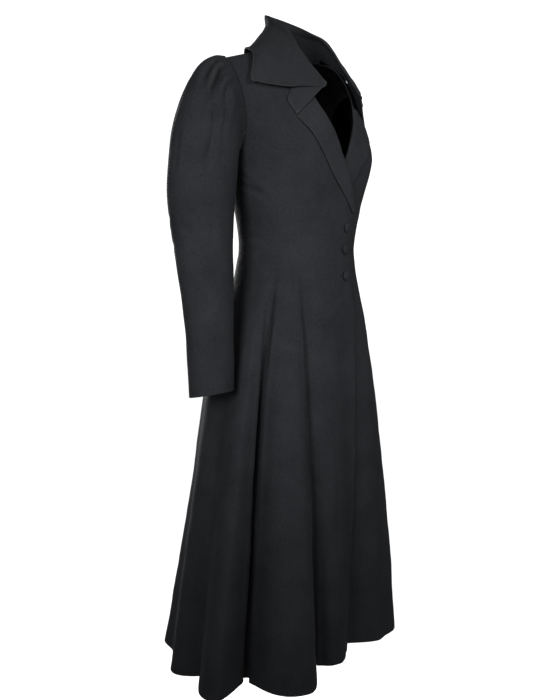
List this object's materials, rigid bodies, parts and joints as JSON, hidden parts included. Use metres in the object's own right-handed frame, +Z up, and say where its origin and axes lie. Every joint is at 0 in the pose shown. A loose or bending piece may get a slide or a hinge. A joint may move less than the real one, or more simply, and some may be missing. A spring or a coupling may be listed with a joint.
{
  "type": "princess coat",
  "caption": "Full-length fitted princess coat in plain wool, worn shape: flared fold-over skirt, gathered-head long sleeves, wide notched collar, narrow lapels, buttoned wrap front.",
  "frame": {"origin": "middle of the neck at the height where the coat rests on the wearer's shoulders", "axes": "+Z up, the front faces -Y, the wearer's left is +X"},
  "size_m": [0.6104, 0.435, 1.2363],
  "materials": {
    "coat_wool": "matt fine wool, near black",
    "collar_wool": "matt fine wool, near black, pressed",
    "button_wool": "wool stretched over a domed button"
  },
  "bodies": {
    "root": {"front_right": "coat_wool", "front_left": "coat_wool", "side_front_right": "coat_wool", "side_front_left": "coat_wool", "side_back_right": "coat_wool", "side_back_left": "coat_wool", "back_right": "coat_wool", "back_left": "coat_wool", "lapel_right": "collar_wool", "lapel_left": "collar_wool", "collar": "collar_wool", "sleeve_upper_right": "coat_wool", "sleeve_upper_left": "coat_wool", "sleeve_under_right": "coat_wool", "sleeve_under_left": "coat_wool", "button_1": "button_wool", "button_2": "button_wool", "button_3": "button_wool"}
  },
  "joints": []
}
